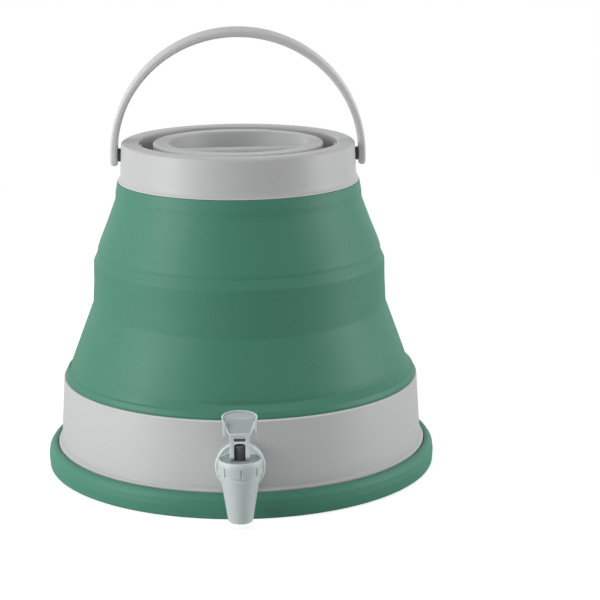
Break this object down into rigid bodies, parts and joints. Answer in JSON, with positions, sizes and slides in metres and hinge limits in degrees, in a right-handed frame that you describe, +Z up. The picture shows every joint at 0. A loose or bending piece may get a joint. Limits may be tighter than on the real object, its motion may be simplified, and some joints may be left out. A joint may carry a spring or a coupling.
{
  "type": "collapsible water carrier",
  "caption": "Conical folding water carrier with a stiff base ring, screw lid, swinging bail handle and a push-lever tap; the silicone body folds flat.",
  "frame": {"origin": "centre of the base tray's underside, on the carrier's axis", "axes": "+Z up along the carrier's axis, the tap faces -Y, the handle's pivots lie along X"},
  "size_m": [0.32, 0.3547, 0.3594],
  "materials": {
    "green_silicone": "matte",
    "warm_grey_plastic": "satin",
    "tap_plastic": "semi gloss",
    "dark_plastic": "matte",
    "clear_silicone": "satin"
  },
  "bodies": {
    "base": {"base_tray": "green_silicone", "lower_ring": "warm_grey_plastic", "bellows_lower_fold": "green_silicone", "tap_body": "tap_plastic", "tap_cap": "tap_plastic", "tap_seat_cup": "clear_silicone", "tap_outer_gasket": "clear_silicone", "tap_inner_gasket": "clear_silicone", "tap_nut": "tap_plastic"},
    "band": {"bellows_middle_band": "green_silicone", "bellows_upper_fold": "green_silicone"},
    "top": {"bellows_top_band": "green_silicone", "collar": "warm_grey_plastic", "groove_floor": "warm_grey_plastic", "neck": "warm_grey_plastic", "handle_pin_left": "warm_grey_plastic", "handle_pin_right": "warm_grey_plastic", "handle_washer_left": "dark_plastic", "handle_washer_right": "dark_plastic"},
    "bail": {"handle": "warm_grey_plastic"},
    "lid_lifter": {"lid_seal": "clear_silicone"},
    "lid": {"lid": "warm_grey_plastic"},
    "valve": {"tap_stem": "dark_plastic", "lever_pin": "tap_plastic"},
    "lever": {"tap_lever": "tap_plastic"}
  },
  "joints": [
    {"name": "band_slide", "type": "slide", "parent": "base", "child": "band", "axis": [0, 0, -1], "range_m": [0, 0.1], "deforming": ["bellows_lower_fold"]},
    {"name": "top_slide", "type": "slide", "parent": "band", "child": "top", "axis": [0, 0, -1], "range_m": [0, 0.077], "deforming": ["bellows_upper_fold"]},
    {"name": "handle_swing", "type": "hinge", "parent": "top", "child": "bail", "pos_m": [0, 0, 0.256], "axis": [1, 0, 0], "range_deg": [-96.2, 83.8]},
    {"name": "lid_lift", "type": "slide", "parent": "top", "child": "lid_lifter", "axis": [0, 0, 1], "range_m": [0, 0.05]},
    {"name": "lid_turn", "type": "hinge", "parent": "lid_lifter", "child": "lid", "pos_m": [0, 0, 0.25], "axis": [0, 0, 1], "range_deg": [0, 360]},
    {"name": "stem_lift", "type": "slide", "parent": "base", "child": "valve", "axis": [0, 0, 1], "range_m": [0, 0.003], "stiffness_N_per_m": 4000, "deforming": ["tap_seat_cup"]},
    {"name": "lever_tilt", "type": "hinge", "parent": "valve", "child": "lever", "pos_m": [0, -0.178, 0.0608], "axis": [1, 0, 0], "range_deg": [0, 75]}
  ],
  "couplings": [
    {"joint": "top_slide", "follows": "band_slide", "ratio": 0.77},
    {"joint": "lever_tilt", "follows": "stem_lift", "rad_per_m": 436.33}
  ]
}
